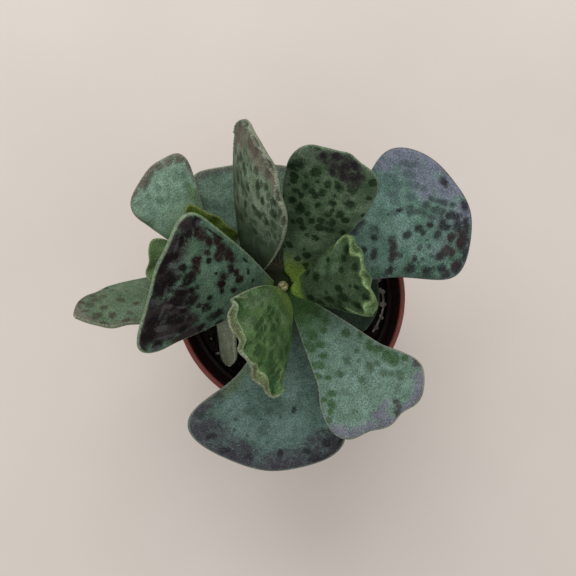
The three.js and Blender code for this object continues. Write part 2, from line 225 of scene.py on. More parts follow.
LOOKS = {
    "leaf_west": dict(
        ground=(92, 117, 97), second=(68, 92, 74), base=(98, 122, 62), spot=(34, 42, 36), cover_left=0.1,
        margin_amount=0, rim=(126, 144, 116), rim_width=0.6),
    # Its dark base colour, reaching far up the leaf, is painted shade, and its dark pocket colour beyond the
    # crest is painted shade on the far face.
    "leaf_north_edgewise": dict(
        ground=(118, 134, 112), second=(96, 113, 90), base=(28, 41, 23), base_reach=0.8, spot=(46, 62, 44),
        spot_size=1.5, spot_stretch=1.8, cover=0.5, margin=(84, 88, 76), margin_amount=0.5, streaks=0.15,
        crest=(138, 144, 128), marbling=0, crest_width=0.16, crest_depth=1, crest_lobes=17,
        pocket=(66, 72, 58)),
    "leaf_north_east": dict(
        ground=(86, 105, 80), second=(61, 81, 57), base=(124, 152, 66), base_reach=0.26, spot=(27, 43, 24),
        spot_depth=0.9, cover=0.36, margin_amount=0.15, rim=(100, 118, 94), marbling=0.35),
    "leaf_east": dict(
        ground=(104, 131, 122), second=(84, 112, 99), base=(50, 68, 50), base_reach=0.68,
        spot=(50, 56, 54), spot_size=2, cover=0.03, cover_tip=0.08, cover_right=0.34, margin=(84, 80, 92),
        margin_amount=0.4, margin_reach=2, rim=(86, 90, 88), marbling=0.15),
    "leaf_south_east": dict(
        ground=(104, 128, 116), second=(90, 113, 98), base=(56, 84, 45), base_reach=0.5, spot=(64, 88, 60),
        cover=0.03, cover_left=0.08, cover_right=0.14, margin=(102, 98, 106), margin_amount=0.4,
        margin_reach=1.6),
    "leaf_south": dict(
        ground=(88, 111, 103), second=(74, 96, 87), base=(52, 66, 52), base_reach=0.6, spot=(60, 76, 68),
        spot_depth=0.4, cover=0.12, margin=(66, 60, 68), margin_amount=0.6, margin_reach=3,
        rim=(112, 120, 110), rim_width=0.4, marbling=0.45),
    "leaf_north_low": dict(
        ground=(99, 121, 106), second=(84, 106, 90), base=(46, 62, 44), base_reach=0.5, cover=0.12,
        spot_depth=0.35, margin=(86, 80, 76), margin_amount=0.7, margin_reach=2.6),
    # This low leaf's whole skin is coloured dark as painted shade from the leaves above it.
    "leaf_east_low": dict(
        ground=(38, 52, 40), second=(30, 42, 32), base=(28, 38, 26), cover=0.06, spot_depth=0.3,
        margin_amount=0, rim=(66, 78, 64)),
    "leaf_young_east": dict(
        ground=(60, 78, 54), second=(44, 61, 38), base=(116, 146, 62), base_reach=0.24, spot=(27, 43, 23),
        cover=0.16, cover_right=0.26, margin_amount=0, streaks=0.12, marbling=0, crest=(120, 142, 94),
        crest_width=0.48, crest_depth=1.6, crest_lobes=10, crest_phase=2.4, pocket=(66, 86, 54),
        rim=(90, 110, 72), rim_width=0.3),
    "leaf_young_south_west": dict(
        ground=(84, 112, 68), second=(56, 83, 46), base=(94, 116, 60), base_reach=0.25, spot=(36, 58, 29),
        spot_depth=0.75, spot_size=1.9, spot_stretch=1.4, cover=0.42, margin_amount=0, streaks=0.25,
        crest=(132, 146, 108), crest_depth=2.1, crest_lobes=7, crest_phase=-0.88, pocket=(94, 98, 70)),
    "side_leaf_north_west": dict(
        ground=(130, 155, 136), second=(112, 140, 118), base=(86, 112, 62), base_reach=0.7,
        spot=(92, 118, 98), cover_right=0.14, margin=(104, 96, 88), margin_amount=0.5, margin_reach=1.4,
        rim=(112, 112, 98)),
    "side_leaf_west": dict(
        ground=(90, 108, 86), second=(75, 93, 69), base=(64, 80, 54), base_reach=0.4, spot=(76, 76, 62),
        cover=0.14, cover_tip=0.12, margin=(92, 82, 76), margin_amount=0.5, margin_reach=2.4,
        rim=(124, 132, 108), rim_width=0.45),
    "side_leaf_young_north": dict(
        ground=(62, 82, 24), second=(44, 62, 16), base=(86, 108, 30), spot=(40, 52, 20),
        margin=(80, 84, 44), margin_amount=0.5, margin_reach=0.9, rim=(104, 116, 64)),
    "side_leaf_young_west": dict(
        ground=(78, 102, 62), second=(58, 82, 44), spot=(44, 60, 34), margin=(76, 80, 52),
        margin_amount=0.4, margin_reach=1, rim=(108, 124, 86)),
    "side_leaf_low": dict(
        ground=(112, 118, 100), second=(92, 98, 80), cover=0.08, margin=(88, 84, 70), margin_amount=0.4,
        streaks=0.3),
}

# Single patches in a colour of their own, layer over layer. A layer is its colour, its strength and
# its patches. A patch is its place along the leaf and its place across it, both in percent with the
# left edge at 100, and its reach in millimetres: along and across, or one number where they are equal.
DABS = {
    "leaf_west": (
        ((42, 30, 34), 0.93, (95, -45, 3.6, 5), (95, -10, 3.8, 4.5), (93, 40, 4.8, 5), (92, -80, 3),
         (84, 30, 4.8, 4), (82, 65, 5.2, 4), (70, 62, 3.6), (64, 88, 5, 2), (98, 70, 3, 6), (78, 10, 2.4),
         (74, 40, 2.4)),
        ((16, 7, 9), 0.97, (77, -17, 1.7), (71, 22, 1.6), (75, 52, 1.6), (84, -28, 1.2), (72, 1, 1.1),
         (93, -40, 1.3), (68, -50, 0.8), (87, -91, 1.3), (88, -70, 1.2), (92, -60, 1.5), (97, -32, 1.6),
         (98, -20, 1.8), (88, -10, 2.3), (94, 3, 2.7), (98, 19, 1.9), (77, -10, 1.3), (70, 16, 1.7),
         (80, 4, 2), (80, 23, 2.2), (91, 48, 2.4), (80, 50, 1.8), (70, 71, 1.3), (93, 68, 2.4),
         (85, 84, 1.5), (96, 90, 1.6), (70, -3, 0.8), (58, 15, 0.8), (58, 36, 1.5), (68, 52, 0.9),
         (48, 60, 1.9), (56, 84, 0.9), (42, 95, 1.4), (51, -13, 0.8, 1.2), (50, 0, 0.7, 0.9),
         (70, -90, 3, 0.4), (39, -82, 1.2, 0.4), (34, -60, 0.5, 0.9), (60, -34, 0.5), (82, -24, 0.5),
         (28, -40, 0.5), (25, 10, 0.6), (64, 30, 0.9), (74, 36, 0.9)),
        ((33, 14, 17), 0.97, (82, -80, 1.7), (78, -78, 1.4), (76, -43, 1.5), (75, -30, 1.4), (73, -76, 1.3),
         (71, -60, 0.9), (67, -83, 1.3), (60, -76, 2.4, 1.8), (62, -62, 1.4), (53, -72, 2, 1.5),
         (53, -31, 1.3), (53, -15, 1.2), (49, -51, 1.2), (44, -47, 1), (40, -34, 1.3), (42, -5, 0.9)),
        ((84, 84, 88), 0.5, (85, -88, 0.8), (91, -28, 1.2, 0.8), (86, -20, 0.8), (85, 28, 1.2, 0.7),
         (96, 20, 1), (84, 62, 1.6, 0.9), (86, 90, 1.5, 0.8), (86, -38, 0.4, 1.6), (94, -52, 0.4, 2),
         (82, 0, 2, 0.4), (88, 38, 0.4, 2), (80, 76, 2.4, 0.4), (90, 8, 0.4, 1.6), (76, 30, 1.4, 0.4)),
    ),
    "leaf_north_edgewise": (
        ((108, 92, 84), 0.6, (96, 0, 4, 6), (95, -50, 3, 2.6), (86, 50, 4, 2)),
        ((30, 44, 28), 0.85, (76, -66, 1.6, 1.2), (66, -42, 1.3, 1.1), (84, -60, 1.5, 1),
         (76, -40, 1.2, 0.9), (65, -60, 1.2, 0.8), (35, 10, 1.4, 1.2), (51, -40, 1.3, 1.1),
         (55, -10, 0.9, 0.7), (80, -20, 1.2, 0.9), (85, -35, 1.3, 0.9), (72, 0, 1.1, 1), (66, -25, 1, 0.9),
         (78, 25, 1.1, 1), (77, 42, 1.2, 1.1), (67, 20, 1.4, 1.1), (73, 52, 1.3, 1.1), (72, 74, 1.6, 1.1),
         (65, 42, 1.5, 1.3), (47, 10, 1.5, 1), (45, 32, 1.8, 1.3), (60, 0, 0.8, 0.7), (56, 62, 1.8, 1.5),
         (87, 76, 2, 1), (55, 30, 1)),
        ((74, 62, 56), 0.75, (93, -30, 2.6, 0.9), (97, 0, 1.3, 1), (95, 20, 1.8, 1.3), (88, -10, 1, 0.8)),
        ((30, 30, 28), 0.85, (93, 60, 1.8, 0.8), (96, 40, 1, 0.7)),
    ),
    "leaf_north_east": (
        ((92, 106, 88), 0.6, (93, 50, 2, 3), (95, 10, 1.4, 2.5), (85, 50, 1.2), (75, -50, 1.6)),
        ((48, 43, 44), 0.85, (92, -10, 3.2, 3.4), (87, -38, 2.6, 2.4), (94, 22, 2, 2.4)),
        ((22, 39, 20), 0.95, (87, 73, 1.9, 2), (83, 35, 1.4, 1.3), (78, 4, 1.1, 1), (79, -24, 1.1),
         (82, -47, 1.3, 1.1), (73, 49, 0.9), (72, 8, 1.1, 1), (68, 22, 1.1, 0.9), (57, 51, 1.5, 1.4),
         (63, 9, 0.9, 1), (64, -50, 1.3, 1.2), (51, -46, 1.3), (52, 10, 0.8, 0.9), (45, 29, 1, 0.9),
         (69, 69, 0.9, 1), (55, 26, 0.8), (68, -22, 1), (73, -60, 1.3, 1.4), (60, -25, 1),
         (62, 75, 1, 1.1)),
        ((36, 28, 33), 0.9, (86, 4, 1, 0.9), (88, -18, 1.6, 1.3), (97, 8, 1.2, 1.3), (92, -15, 1.2, 1.1),
         (97, -30, 1.3, 1.8), (95, 30, 1), (93, -45, 1.2, 1.3), (90, -35, 1.2)),
    ),
    "leaf_east": (
        ((112, 111, 130), 0.75, (95, 75, 3, 5), (91, 50, 3.2, 5), (94, 15, 3.2, 3.6), (96, -25, 2.4, 3),
         (88, 90, 2), (86, 30, 2.4, 3), (98, 50, 1.6, 4), (98, 10, 1.6, 3)),
        ((96, 106, 106), 0.5, (90, -25, 4), (86, -60, 3)),
        ((58, 82, 64), 0.7, (74, -95, 9, 2.6), (50, -90, 5, 1.6), (93, -70, 2.6, 3)),
        ((72, 89, 88), 0.8, (82, 76, 1.4), (80, 62, 1.4), (75, 55, 1.4, 1.6), (88, 58, 1.3, 1.5),
         (69, 28, 1.5, 1), (84, 45, 1.4, 1.6), (72, 45, 1.1), (79, 33, 1.2), (92, 66, 1, 1.6), (86, 30, 1)),
        ((54, 63, 62), 0.85, (74, 12, 1.2, 1), (77, 5, 1, 0.9), (82, 8, 1.2, 1), (79, -2, 1, 0.9),
         (84, -6, 1.1, 1), (87, -12, 1.2, 1), (82, -14, 1.1, 1), (86, 12, 0.8), (64, -62, 0.8),
         (74, -55, 0.8), (55, 21, 1.1, 1.3), (90, -2, 1), (75, 19, 0.9), (71, 26, 0.7), (86, -5, 0.7),
         (80, -23, 0.7), (95, -27, 0.8), (91, -20, 0.9), (86, -24, 1), (88, 4, 0.7), (93, -10, 0.8)),
        ((36, 35, 38), 0.9, (93, -41, 1.4, 1.7), (96, -60, 1.8, 2.2), (85, -72, 1.4, 1),
         (95, -84, 1.6, 1.4), (96, 22, 1, 1.6), (98, -18, 1, 1.8), (68, -26, 1.3, 1.1), (74, -22, 1.1, 1),
         (76, -32, 0.8), (86, -32, 1.3, 1.2), (83, -42, 1), (80, -24, 1), (90, -51, 1.2), (90, -22, 1.2, 1),
         (93, -26, 1), (71, -86, 1.6, 1), (60, -87, 1.6, 0.9), (52, 2, 1, 1.3), (52, 62, 1.8, 1.6),
         (47, 52, 1.4, 1.6), (50, -34, 1), (65, 33, 0.5, 0.3), (70, 27, 0.7, 0.6), (90, 40, 0.3),
         (72, -72, 0.8), (73, 80, 0.7), (97, -45, 1.1, 2.4), (98, -72, 1, 2), (90, -93, 1.6, 0.9),
         (87, -86, 1.1), (80, -90, 1.3, 0.9), (88, -36, 0.9), (93, -38, 1), (97, -36, 0.9), (45, -16, 0.9),
         (50, -42, 1.1)),
        ((47, 36, 39), 0.9, (60, -36, 1.2, 2.3), (60, -58, 1.2, 1.7), (88, -66, 1.6, 1.4), (91, -70, 1),
         (95, -56, 1.2, 2.2), (94, -84, 1.2), (90, -48, 1)),
    ),
    "leaf_south_east": (
        ((102, 99, 113), 0.75, (95, 74, 1.6), (97, 59, 1.4, 1.8), (98, 44, 1.3, 1.8), (98, 28, 1.1, 1.6),
         (93, -12, 1.6, 2), (98, -9, 1.8, 2), (98, -33, 1.9, 2.2), (96, -55, 1.6, 2), (94, -75, 1.8, 2),
         (90, 5, 1, 1.6)),
        ((82, 104, 88), 0.7, (65, 0, 1.1), (76, 3, 1), (73, -49, 1.1), (86, -66, 1.7), (88, -43, 1.4),
         (62, -36, 1.1), (80, 20, 0.9), (88, 40, 1, 1.4)),
        ((60, 80, 60), 0.85, (57, 47, 0.8), (69, 38, 1.3, 1), (71, 54, 0.9), (62, 28, 0.6), (77, 47, 1.1),
         (57, 4, 1.2), (71, 1, 1.1), (62, -35, 1), (85, 61, 1.2), (81, 55, 0.8)),
        ((50, 76, 42), 0.86, (25, 40, 1), (32, 46, 0.9), (33, -42, 1.3), (46, 65, 1.2), (54, 90, 0.8),
         (39, -80, 1.3), (41, -38, 1.3), (48, -50, 1, 1.2), (62, 80, 1.5, 1.2), (67, 82, 1.3, 1),
         (53, -74, 1.3), (60, -93, 1), (62, -69, 0.8), (74, 82, 1.6), (78, 77, 1.2), (82, 90, 0.9),
         (72, -75, 1.1), (75, -90, 0.8), (79, -80, 1.5, 1), (83, -85, 1, 0.7), (88, -90, 0.8),
         (35, -46, 1.1), (42, -77, 1), (53, -87, 1.1), (47, 66, 1), (35, 10, 1), (69, 87, 0.9),
         (77, 88, 0.8)),
        ((52, 44, 46), 0.85, (89, 93, 1.2), (93, 22, 1, 0.8), (98, 12, 1.3, 1), (96, 20, 0.8)),
    ),
    "leaf_south": (
        # The first layer's pale patches over the middle are painted highlight: the sky's reflection on the
        # waxy bloom.
        ((100, 121, 115), 0.6, (82, -35, 3, 4), (78, 15, 3, 4), (60, 30, 3, 2.6), (75, -70, 2.4)),
        ((58, 76, 68), 0.6, (67, -10, 2.6, 2.2), (72, -45, 1.8, 1.6), (80, -15, 1.5)),
        ((76, 90, 56), 0.65, (70, -95, 5, 1.6), (60, -95, 3, 1.2)),
        ((55, 48, 56), 0.85, (95, 20, 3, 7), (94, -30, 3, 6), (92, 60, 3.6, 5), (90, -65, 3, 4),
         (87, -92, 2.4, 2)),
        ((34, 32, 36), 0.85, (92, 85, 3), (84, 98, 4, 1.6), (97, 50, 1.2, 3), (92, -60, 0.9), (96, -40, 1),
         (95, -17, 1), (91, 13, 0.9), (92, 42, 1), (91, 65, 1)),
        ((46, 58, 52), 0.75, (78, -70, 0.5), (85, -47, 0.5), (87, -64, 0.6), (70, -56, 0.5), (84, -79, 0.5),
         (78, -84, 0.5), (72, 8, 0.4), (75, -25, 0.4), (87, -82, 0.7), (85, -31, 0.5), (86, -5, 0.5),
         (77, -93, 1), (80, -55, 0.5), (66, -70, 0.5)),
        ((28, 34, 36), 1, (70, 37, 0.9, 0.75)),
    ),
    "leaf_young_east": (
        ((82, 104, 76), 0.65, (55, 75, 3.4, 1.6), (72, 75, 2.4, 2), (68, 40, 1.8, 1.4), (50, 45, 1.6, 1.2)),
        ((20, 34, 16), 0.95, (42, 32, 1.1), (44, 36, 0.7), (60, 68, 0.7), (74, 24, 0.8), (87, 62, 1.1),
         (81, 48, 0.8), (90, 20, 1), (65, -25, 1), (67, -52, 1.5, 1.2), (50, -62, 1.3, 1.1),
         (36, -84, 1.4, 1), (27, -60, 1, 0.8), (85, -25, 0.7), (90, -50, 0.9), (78, -70, 1.3, 1),
         (60, -82, 1.4, 0.9), (30, 70, 0.6)),
    ),
    "leaf_young_south_west": (
        ((96, 114, 86), 0.5, (55, -75, 5, 2), (80, -50, 2.6, 1.6), (35, -70, 3, 1.6)),
        ((44, 72, 36), 0.7, (75, 40, 2, 1.6), (80, 10, 1.8, 1.6), (60, 55, 1.8, 1.4), (62, 10, 1.6, 1.4),
         (45, 35, 1.5, 1.2), (72, -20, 1.6, 1.3), (85, 65, 1.4, 1.2), (50, -20, 1.3, 1.2)),
    ),
    "side_leaf_north_west": (
        ((94, 118, 100), 0.65, (87, 69, 1.1, 0.9), (85, 40, 1), (92, 31, 0.8), (83, 6, 1.2, 1),
         (81, -24, 1.2, 0.9), (82, -52, 1, 0.9), (80, -74, 0.9, 0.8), (75, 21, 1.1, 1), (77, 57, 1.4, 1.1),
         (71, -68, 1)),
        ((84, 108, 64), 0.6, (62, -80, 3, 1.4), (70, 98, 4, 0.7), (50, -50, 2, 1.6)),
        ((96, 84, 76), 0.8, (96, 25, 1.6, 1.8), (98, -5, 1, 1.6), (96, -25, 1, 1.3), (96, -50, 1, 1.4),
         (93, -75, 1.2), (86, -95, 1.6, 0.9), (98, 60, 0.7, 1.6)),
    ),
    "side_leaf_west": (
        ((106, 98, 90), 0.5, (97, -10, 2.2, 4), (90, -70, 3, 1.6), (80, -90, 3, 1)),
        ((60, 60, 48), 0.85, (91, 29, 0.8), (90, -39, 0.8), (79, -56, 0.9), (67, -80, 0.8), (70, 50, 0.8),
         (81, -35, 1.2, 1), (74, -43, 1), (81, 4, 1.2, 0.9), (80, 35, 1), (88, 21, 1), (86, -24, 1.1),
         (68, -4, 0.9), (76, 68, 1.2, 0.9), (92, -5, 1), (62, 30, 0.8), (90, 50, 1, 0.8), (66, -60, 0.8)),
    ),
}


# Node materials

def linear(level):
    share = level / 255
    return share / 12.92 if share <= 0.04045 else ((share + 0.055) / 1.055) ** 2.4


def screen(colour):
    """A colour given as it looks on a screen, 0 to 255, as the linear colour that Blender takes."""
    return tuple(linear(level) for level in colour) + (1,)


def new_material(name):
    material = bpy.data.materials.new(name)
    material.use_nodes = True
    return material


def is_socket(value):
    return isinstance(value, bpy.types.NodeSocket)


def add_node(kind, inputs, **settings):
    """A new node. An input is a number, a colour or an output socket, and one at least is a socket."""
    tree = next(value.id_data for value in inputs.values() if is_socket(value))
    node = tree.nodes.new(kind)
    for name, value in settings.items():
        setattr(node, name, value)
    for name, value in inputs.items():
        if is_socket(value):
            tree.links.new(value, node.inputs[name])
        else:
            node.inputs[name].default_value = value
    return node


def maths(operation, first, second=0, third=0):
    return add_node("ShaderNodeMath", {0: first, 1: second, 2: third}, operation=operation).outputs[0]


def vector_maths(operation, inputs, output=0):
    return add_node("ShaderNodeVectorMath", inputs, operation=operation).outputs[output]


def ease(value, low, high, start=0, end=1):
    """Smoothly from start to end as value goes from low to high."""
    inputs = {"Value": value, "From Min": low, "From Max": high, "To Min": start, "To Max": end}
    return add_node("ShaderNodeMapRange", inputs, interpolation_type="SMOOTHSTEP").outputs["Result"]


def blend(amount, under, over, blend_type="MIX"):
    """Under covered by over, each a screen colour or another node's output socket."""
    inputs = {0: amount, 6: under, 7: over}
    inputs = {key: screen(value) if isinstance(value, tuple) else value for key, value in inputs.items()}
    return add_node("ShaderNodeMix", inputs, data_type="RGBA", blend_type=blend_type).outputs[2]


def attribute(tree, name, output="Fac"):
    node = tree.nodes.new("ShaderNodeAttribute")
    node.attribute_name = name
    return node.outputs[output]


def grain(place, size, detail=2, roughness=0.5, distortion=0):
    """Noise from about 0 to 1 whose features are about size apart, in place's units."""
    inputs = {"Vector": place, "Scale": 1 / size, "Detail": detail, "Roughness": roughness,
              "Distortion": distortion}
    return add_node("ShaderNodeTexNoise", inputs).outputs["Fac"]


def uneven(place, size, detail, low, high):
    """A value that wanders between low and high."""
    return ease(grain(place, size, detail), 0.3, 0.7, low, high)


def clouded(place, colours, size, detail=2, roughness=0.5):
    """Soft clouds of two colours."""
    return blend(ease(grain(place, size, detail, roughness), 0.35, 0.65), *colours)


def stretched(place, scale):
    return add_node("ShaderNodeMapping", {"Vector": place, "Scale": scale}).outputs["Vector"]


def bumped(height, distance, strength=1, under=None):
    inputs = {"Height": height, "Distance": distance, "Strength": strength}
    if under is not None:
        inputs["Normal"] = under
    return add_node("ShaderNodeBump", inputs).outputs["Normal"]


def surface(material, **sockets):
    """Sets the main shader's sockets, named with underscores for their spaces."""
    shader = material.node_tree.nodes["Principled BSDF"]
    for name, value in sockets.items():
        socket = shader.inputs[name.replace("_", " ")]
        if is_socket(value):
            material.node_tree.links.new(value, socket)
        else:
            socket.default_value = value
    return material


def body_material(name):
    """A new material, and the place on the piece that its grain is laid out in, in metres."""
    material = new_material(name)
    return material, material.node_tree.nodes.new("ShaderNodeTexCoord").outputs["Object"]


def grainy_material(name, colours, clouds, rough, relief, fleck=None, shine=0.5):
    """A dull natural skin in two colours, with flecks of a third.

    Clouds and relief hold what grain takes, relief with its depth first, and rough what uneven takes.
    """
    material, place = body_material(name)
    colour = clouded(place, colours, *clouds)
    if fleck:
        shown = ease(grain(place, *fleck["grain"]), *fleck["between"], 0, fleck["strength"])
        colour = blend(shown, colour, fleck["colour"])
    depth, *relief_grain = relief
    bump = bumped(grain(place, *relief_grain), depth)
    return surface(material, Base_Color=colour, Roughness=uneven(place, *rough), Normal=bump,
                   Specular_IOR_Level=shine)


def wobbled(place, size, reach):
    """Place, pushed about by up to about reach, so that what is drawn on it has uneven edges."""
    cloud = add_node("ShaderNodeTexNoise", {"Vector": place, "Scale": 1 / size, "Detail": 3})
    push = vector_maths("SUBTRACT", {0: cloud.outputs["Color"], 1: (0.5, 0.5, 0.5)})
    push = vector_maths("SCALE", {0: push, "Scale": 2 * reach})
    return vector_maths("ADD", {0: place, 1: push})


def spots(place, size, cover, jitter):
    """Round spots of uneven size, one in each cell, that grow and merge where cover is higher."""
    cells = add_node("ShaderNodeTexVoronoi", {"Vector": place, "Scale": 1 / size, "Randomness": 1})
    chance = add_node("ShaderNodeSeparateColor", {0: cells.outputs["Color"]}).outputs[0]
    reach = maths("MULTIPLY", maths("ADD", chance, 0.4), cover)
    inside = maths("SUBTRACT", reach, cells.outputs["Distance"])
    uneven_edge = maths("MULTIPLY_ADD", jitter, 0.22, inside)
    return maths("MULTIPLY", ease(uneven_edge, -0.06, 0.1), ease(cover, 0.02, 0.1))


def centred(value):
    return maths("SUBTRACT", value, 0.5)


def ragged(name, jitter, amount):
    """One of the mesh's attributes, made uneven by jitter."""
    return maths("MULTIPLY_ADD", jitter, amount, attribute(jitter.id_data, name))


def leaf_colours(look, place):
    """The skin's colour, layer by layer, and the mask of its dark spots."""
    tree = place.id_data
    fine = centred(grain(place, 0.35, 2, 0.7))
    coarse = centred(grain(place, 1.5, 3, 0.6))
    jitter = maths("ADD", fine, coarse)
    skin = clouded(place, (look["ground"], look["second"]), 7, 4, 0.6)
    # The colour near the stem: yellow-green young tissue on some leaves, painted shade on those whose base
    # colour is a dark grey-green.
    skin = blend(attribute(tree, "stem_end_tint_and_shade"), skin, look["base"])
    margin = ease(ragged("margin", jitter, 0.9), 0.1, 0.75, 0, look["margin_amount"])
    skin = blend(margin, skin, look["margin"])
    drawn = stretched(wobbled(place, 2.2, 0.6), (1, 1 / look["spot_stretch"], 1))
    dark = spots(drawn, look["spot_size"], attribute(tree, "cover"), jitter)
    dark = maths("MULTIPLY", dark, look["spot_depth"])
    skin = blend(dark, skin, look["spot"])
    veins = grain(place, 1.6, 4, 0.65, 1.2)
    solid = ease(veins, 0.5, 0.62, 1, 1 - look["marbling"])
    for number, (colour, strength, *_) in enumerate(look["dabs"]):
        patch = ease(ragged(f"dab_{number}", jitter, 1.2), -0.35, 0.5, 0, strength)
        if number > 0:
            patch = maths("MULTIPLY", patch, solid)
        skin = blend(patch, skin, colour)
        dark = maths("MAXIMUM", dark, patch)
    if look["crest_depth"]:
        pocket = ease(ragged("pocket", jitter, 0.8), 0.1, 0.9, 0, 0.85)
        skin = blend(pocket, skin, look["pocket"])
        skin = blend(maths("MULTIPLY", attribute(tree, "crest"), 0.9), skin, look["crest"])
    # The rim line: where it is paler than the skin, partly painted highlight on the rounded edge.
    off_edge = ragged("to_margin", jitter, -0.3)
    edge_line = ease(off_edge, look["rim_width"], 0.3 * look["rim_width"], 0, 0.75)
    return blend(edge_line, skin, look["rim"]), dark


def leaf_material(name, look):
    """Waxy succulent skin: clouded and spotted, with a mottled grain, pale flecks of painted glint and soft
    furrows.
    """
    material = new_material(name + "_skin")
    place = attribute(material.node_tree, "flat", "Vector")
    skin, dark = leaf_colours(look, place)
    speckle = grain(place, 0.4, 3, 0.8)
    mottle = ease(grain(place, 1.6, 4, 0.7), 0.32, 0.68, 0.82, 1.18)
    shade = maths("MULTIPLY", ease(speckle, 0.32, 0.68, 0.6, 1.4), mottle)
    lit = add_node("ShaderNodeCombineColor", {0: shade, 1: shade, 2: shade}).outputs[0]
    skin = blend(1, skin, lit, "MULTIPLY")
    # Tiny pale flecks: painted glints.
    fleck = ease(grain(place, 0.3, 1), 0.72, 0.8, 0, 0.5)
    skin = blend(fleck, skin, (176, 184, 168))
    relief = grain(place, 3, 3)
    if look["streaks"]:
        streak = grain(stretched(place, (1, 0.09, 1)), 0.7, 3)
        furrow = ease(streak, 0.5, 0.62, 0, 0.6 * look["streaks"])
        skin = blend(furrow, skin, look["spot"])
        ridge = ease(streak, 0.46, 0.36, 0, 0.4 * look["streaks"])
        skin = blend(ridge, skin, look["rim"])
        relief = maths("MULTIPLY_ADD", streak, look["streaks"], relief)
    rough = ease(maths("MULTIPLY_ADD", dark, -0.3, speckle), 0.1, 0.8, 0.42, 0.68)
    normal = bumped(relief, 0.0004, 0.8, bumped(speckle, 0.00007))
    return surface(material, Base_Color=skin, Roughness=rough, Normal=normal, Specular_IOR_Level=0.08)


# Meshes

def link_piece(name, mesh, material):
    piece = bpy.data.objects.new(name, mesh)
    mesh.materials.append(material)
    bpy.context.scene.collection.objects.link(piece)
    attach(piece, "root")
    return piece


def mesh_of(name, points_mm, faces):
    mesh = bpy.data.meshes.new(name)
    mesh.from_pydata([tuple(MM * value for value in point) for point in points_mm], [], faces)
    mesh.shade_smooth()
    mesh.update()
    return mesh


def body_piece(name, body, material):
    """A piece from the points and faces of a body."""
    return link_piece(name, mesh_of(name, *body), material)


def smooth(value, low, high):
    share = np.clip((value - low) / (high - low), 0, 1)
    return share * share * (3 - 2 * share)


def leaf_grid(count):
    even = np.linspace(-1, 1, count + 1)
    lines = (1 - MARGIN_CROWDING) * even + MARGIN_CROWDING * np.sin(even * math.pi / 2)
    return np.meshgrid(lines, lines, indexing="ij")


def spread_at(u, leaf):
    neck = leaf["neck"] / leaf["width"]
    wedge = neck + (1 - neck) * u ** leaf["flare"]
    return wedge * (1 + leaf["corner"] * smooth(u, 0.6, 1))


def widest_spread(leaf):
    u = np.linspace(0, 1, 201)
    end = np.maximum(2 * u - 1, 0) ** leaf["tip"]
    return float(np.max(spread_at(u, leaf) * (1 - end) ** (1 / leaf["tip"])))


def thickness_at(u, a, inward, leaf):
    along = np.maximum(np.sin(math.pi * np.minimum(0.9 * u + 0.12, 1)), 0) ** 0.8
    across = (1 - 0.6 * a * a) * smooth(inward, 0, 0.6)
    return leaf["edge"] + (leaf["thick"] - leaf["edge"]) * along * across


def leaf_fields(leaf):
    """Every grid point's place on the leaf, in the leaf's own terms."""
    s, t = leaf_grid(leaf["grid"])
    out = np.maximum(abs(s), abs(t))
    power = np.where(t > 0, leaf["tip"], leaf["heel"])
    around = (abs(s) ** power + abs(t) ** power) ** (1 / power)
    pull = np.where(around > 0, out / np.maximum(around, 1e-9), 1)
    a, b = s * pull, t * pull
    u = (b + 1) / 2
    half = (leaf["width"] / 2) * spread_at(u, leaf) / widest_spread(leaf)
    bearing = np.arctan2(a, b)
    end = smooth(np.cos(bearing), 0.15, 0.6)
    rim = smooth(out, 0.55, 1) * end
    swing = 2 * leaf["waves"] * bearing + leaf["phase"]
    wave = np.sin(swing) + FINE_WAVE_SHARE * np.sin(FINE_WAVE_RATIO * swing + leaf["phase"] + 1)
    scallop = leaf["scallop"] * np.cos(swing) * rim
    flat = a * half + scallop * a
    sideways = s ** 4 / np.maximum(s ** 4 + t ** 4, 1e-9)
    to_margin = (1 - out) * (sideways * half + (1 - sideways) * leaf["length"] / 2)
    fullness = np.sqrt(np.clip(1 - (1 - np.clip(to_margin / (0.8 * leaf["edge"]), 0, 1)) ** 2, 0, 1))
    curl = leaf["cup"] * a * a * smooth(u, 0.1, 0.8) * leaf["width"] / 2
    return {
        "a": a, "u": u, "end": end, "to_margin": to_margin, "bearing": bearing,
        "along": leaf["length"] * u * (1 - leaf["sweep"] * a * a) + scallop * b + leaf["slant"] * flat * u,
        "across": flat + leaf["bend"] * leaf["length"] * u * u,
        "above": leaf["arch"] * leaf["length"] * u * u + curl + leaf["wave"] * wave * rim,
        "depth": thickness_at(u, a, 1 - out, leaf) * fullness,
    }


def crest_of(fields, look):
    """The raised, waving line along a leaf's tip, and the pockets of margin outside it."""
    turns = look["crest_lobes"] * fields["bearing"] + look["crest_phase"]
    line_at = look["crest_depth"] * (0.5 + 0.5 * np.sin(turns) + 0.08 * np.sin(2.7 * turns + 1))
    off = fields["to_margin"] - line_at
    here = fields["end"] * min(look["crest_depth"], 1)
    return np.exp(-((off / look["crest_width"]) ** 2)) * here, smooth(-off, 0, 0.6) * here


def swell_of(fields, seed):
    """Low uneven swellings of a fleshy leaf, which fade out at its margin."""
    total = np.zeros_like(fields["u"])
    for index in range(SWELL_WAVES):
        turn = GOLDEN_ANGLE * (index + seed)
        period = SWELL_SHORTEST * (1 + 0.45 * index)
        way = fields["across"] * math.cos(turn) + fields["along"] * math.sin(turn)
        total += np.sin(2 * math.pi * way / period + seed + index)
    return LEAF_SWELL * total / SWELL_WAVES * smooth(fields["to_margin"], 0.2, 3.5)


def leaf_directions(leaf):
    azimuth, elevation, roll = (math.radians(leaf[key]) for key in ("azimuth", "elevation", "roll"))
    along = Vector((math.cos(azimuth) * math.cos(elevation), math.sin(azimuth) * math.cos(elevation),
                    math.sin(elevation)))
    across = Matrix.Rotation(roll, 3, along) @ Vector((-math.sin(azimuth), math.cos(azimuth), 0))
    return np.array(along), np.array(across), np.array(along.cross(across))


